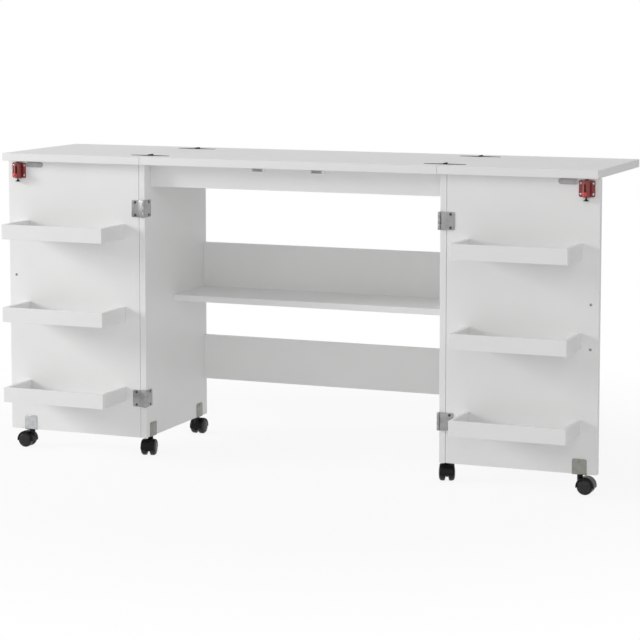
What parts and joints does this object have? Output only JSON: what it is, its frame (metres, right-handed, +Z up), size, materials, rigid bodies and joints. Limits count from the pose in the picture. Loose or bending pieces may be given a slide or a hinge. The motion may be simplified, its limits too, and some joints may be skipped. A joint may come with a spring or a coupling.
{
  "type": "folding sewing cutting table",
  "caption": "White sewing and cutting table on casters, with two swing-out doors that carry trays and two fold-over leaves held by sliding bolts.",
  "frame": {"origin": "on the floor under the middle of the bounding box of the open table", "axes": "+X to the right along the length, +Y from the front (the doors' trays) to the back, +Z up"},
  "size_m": [1.6, 0.505, 0.785],
  "materials": {
    "white_laminate": "smooth white melamine laminate on particle board",
    "hinge_steel": "dull grey plated steel",
    "zinc_steel": "zinc plated steel, satin",
    "screw_steel": "bright plated steel",
    "catch": "plain moulded plastic with steel pole plates",
    "lock_red": "red enamel on a die casting",
    "bolt_red": "steel bolt with a red ball knob",
    "caster_hood": "black nylon",
    "caster_wheel": "black nylon with a fine satin"
  },
  "bodies": {
    "cabinet": {"left_side_panel": "white_laminate", "right_side_panel": "white_laminate", "centre_top": "white_laminate", "front_rail": "white_laminate", "rear_rail": "white_laminate", "shelf": "white_laminate", "upper_back_board": "white_laminate", "lower_back_board": "white_laminate", "magnetic_catches": "catch", "door_hinge_fixed_wings": "hinge_steel", "leaf_hinge_fixed_straps": "hinge_steel", "hinge_pins": "hinge_steel", "cabinet_caster_brackets": "zinc_steel", "cabinet_screws": "screw_steel"},
    "left_door": {"left_door_panel": "white_laminate", "left_door_upper_tray": "white_laminate", "left_door_middle_tray": "white_laminate", "left_door_lower_tray": "white_laminate", "left_door_hinge_wings": "hinge_steel", "left_door_lock_housing": "lock_red", "left_door_strike_plate": "zinc_steel", "left_door_handle": "zinc_steel", "left_door_caster_bracket": "zinc_steel", "left_door_screws": "screw_steel"},
    "left_bolt": {"left_lock_bolt": "bolt_red"},
    "left_leaf": {"left_leaf": "white_laminate", "left_leaf_hinge_straps": "hinge_steel"},
    "right_door": {"right_door_panel": "white_laminate", "right_door_upper_tray": "white_laminate", "right_door_middle_tray": "white_laminate", "right_door_lower_tray": "white_laminate", "right_door_hinge_wings": "hinge_steel", "right_door_lock_housing": "lock_red", "right_door_strike_plate": "zinc_steel", "right_door_handle": "zinc_steel", "right_door_caster_bracket": "zinc_steel", "right_door_screws": "screw_steel"},
    "right_bolt": {"right_lock_bolt": "bolt_red"},
    "right_leaf": {"right_leaf": "white_laminate", "right_leaf_hinge_straps": "hinge_steel"},
    "left_door_caster": {"left_door_caster_frame": "caster_hood"},
    "left_door_wheel_a": {"left_door_caster_wheel_a": "caster_wheel"},
    "left_door_wheel_b": {"left_door_caster_wheel_b": "caster_wheel"},
    "right_door_caster": {"right_door_caster_frame": "caster_hood"},
    "right_door_wheel_a": {"right_door_caster_wheel_a": "caster_wheel"},
    "right_door_wheel_b": {"right_door_caster_wheel_b": "caster_wheel"},
    "front_left_caster": {"front_left_caster_frame": "caster_hood"},
    "front_left_wheel_a": {"front_left_caster_wheel_a": "caster_wheel"},
    "front_left_wheel_b": {"front_left_caster_wheel_b": "caster_wheel"},
    "front_right_caster": {"front_right_caster_frame": "caster_hood"},
    "front_right_wheel_a": {"front_right_caster_wheel_a": "caster_wheel"},
    "front_right_wheel_b": {"front_right_caster_wheel_b": "caster_wheel"},
    "rear_left_caster": {"rear_left_caster_frame": "caster_hood"},
    "rear_left_wheel_a": {"rear_left_caster_wheel_a": "caster_wheel"},
    "rear_left_wheel_b": {"rear_left_caster_wheel_b": "caster_wheel"},
    "rear_right_caster": {"rear_right_caster_frame": "caster_hood"},
    "rear_right_wheel_a": {"rear_right_caster_wheel_a": "caster_wheel"},
    "rear_right_wheel_b": {"rear_right_caster_wheel_b": "caster_wheel"}
  },
  "joints": [
    {"name": "left_door_swing", "type": "hinge", "parent": "cabinet", "child": "left_door", "pos_m": [-0.4, -0.12975, 0.4], "axis": [0, 0, 1], "range_deg": [0, 180]},
    {"name": "left_leaf_fold", "type": "hinge", "parent": "cabinet", "child": "left_leaf", "pos_m": [-0.4, 0.053, 0.783], "axis": [0, 1, 0], "range_deg": [0, 180]},
    {"name": "left_bolt_slide", "type": "slide", "parent": "left_door", "child": "left_bolt", "axis": [0, 0, 1], "range_m": [0, 0.016]},
    {"name": "right_door_swing", "type": "hinge", "parent": "cabinet", "child": "right_door", "pos_m": [0.4, -0.12975, 0.4], "axis": [0, 0, 1], "range_deg": [-180, 0]},
    {"name": "right_leaf_fold", "type": "hinge", "parent": "cabinet", "child": "right_leaf", "pos_m": [0.4, 0.053, 0.783], "axis": [0, 1, 0], "range_deg": [-180, 0]},
    {"name": "right_bolt_slide", "type": "slide", "parent": "right_door", "child": "right_bolt", "axis": [0, 0, 1], "range_m": [0, 0.016]},
    {"name": "left_door_caster_swivel", "type": "hinge", "parent": "left_door", "child": "left_door_caster", "pos_m": [-0.741, -0.1145, 0.05], "axis": [0, 0, 1], "continuous": true},
    {"name": "left_door_wheel_a_spin", "type": "hinge", "parent": "left_door_caster", "child": "left_door_wheel_a", "pos_m": [-0.756, -0.1145, 0.02], "axis": [0, -1, 0], "continuous": true},
    {"name": "left_door_wheel_b_spin", "type": "hinge", "parent": "left_door_caster", "child": "left_door_wheel_b", "pos_m": [-0.756, -0.1145, 0.02], "axis": [0, -1, 0], "continuous": true},
    {"name": "right_door_caster_swivel", "type": "hinge", "parent": "right_door", "child": "right_door_caster", "pos_m": [0.755, -0.1145, 0.05], "axis": [0, 0, 1], "continuous": true},
    {"name": "right_door_wheel_a_spin", "type": "hinge", "parent": "right_door_caster", "child": "right_door_wheel_a", "pos_m": [0.77, -0.1145, 0.02], "axis": [0, 1, 0], "continuous": true},
    {"name": "right_door_wheel_b_spin", "type": "hinge", "parent": "right_door_caster", "child": "right_door_wheel_b", "pos_m": [0.77, -0.1145, 0.02], "axis": [0, 1, 0], "continuous": true},
    {"name": "front_left_caster_swivel", "type": "hinge", "parent": "cabinet", "child": "front_left_caster", "pos_m": [-0.408, -0.083, 0.05], "axis": [0, 0, 1], "continuous": true},
    {"name": "front_left_wheel_a_spin", "type": "hinge", "parent": "front_left_caster", "child": "front_left_wheel_a", "pos_m": [-0.40488, -0.09767, 0.02], "axis": [0.9781, 0.2079, 0], "continuous": true},
    {"name": "front_left_wheel_b_spin", "type": "hinge", "parent": "front_left_caster", "child": "front_left_wheel_b", "pos_m": [-0.40488, -0.09767, 0.02], "axis": [0.9781, 0.2079, 0], "continuous": true},
    {"name": "front_right_caster_swivel", "type": "hinge", "parent": "cabinet", "child": "front_right_caster", "pos_m": [0.408, -0.083, 0.05], "axis": [0, 0, 1], "continuous": true},
    {"name": "front_right_wheel_a_spin", "type": "hinge", "parent": "front_right_caster", "child": "front_right_wheel_a", "pos_m": [0.41276, -0.09723, 0.02], "axis": [0.9483, 0.3173, 0], "continuous": true},
    {"name": "front_right_wheel_b_spin", "type": "hinge", "parent": "front_right_caster", "child": "front_right_wheel_b", "pos_m": [0.41276, -0.09723, 0.02], "axis": [0.9483, 0.3173, 0], "continuous": true},
    {"name": "rear_left_caster_swivel", "type": "hinge", "parent": "cabinet", "child": "rear_left_caster", "pos_m": [-0.408, 0.1995, 0.05], "axis": [0, 0, 1], "continuous": true},
    {"name": "rear_left_wheel_a_spin", "type": "hinge", "parent": "rear_left_caster", "child": "rear_left_wheel_a", "pos_m": [-0.408, 0.2145, 0.02], "axis": [-1, 0, 0], "continuous": true},
    {"name": "rear_left_wheel_b_spin", "type": "hinge", "parent": "rear_left_caster", "child": "rear_left_wheel_b", "pos_m": [-0.408, 0.2145, 0.02], "axis": [-1, 0, 0], "continuous": true},
    {"name": "rear_right_caster_swivel", "type": "hinge", "parent": "cabinet", "child": "rear_right_caster", "pos_m": [0.408, 0.1995, 0.05], "axis": [0, 0, 1], "continuous": true},
    {"name": "rear_right_wheel_a_spin", "type": "hinge", "parent": "rear_right_caster", "child": "rear_right_wheel_a", "pos_m": [0.4054, 0.21427, 0.02], "axis": [-0.9848, -0.1736, 0], "continuous": true},
    {"name": "rear_right_wheel_b_spin", "type": "hinge", "parent": "rear_right_caster", "child": "rear_right_wheel_b", "pos_m": [0.4054, 0.21427, 0.02], "axis": [-0.9848, -0.1736, 0], "continuous": true}
  ]
}
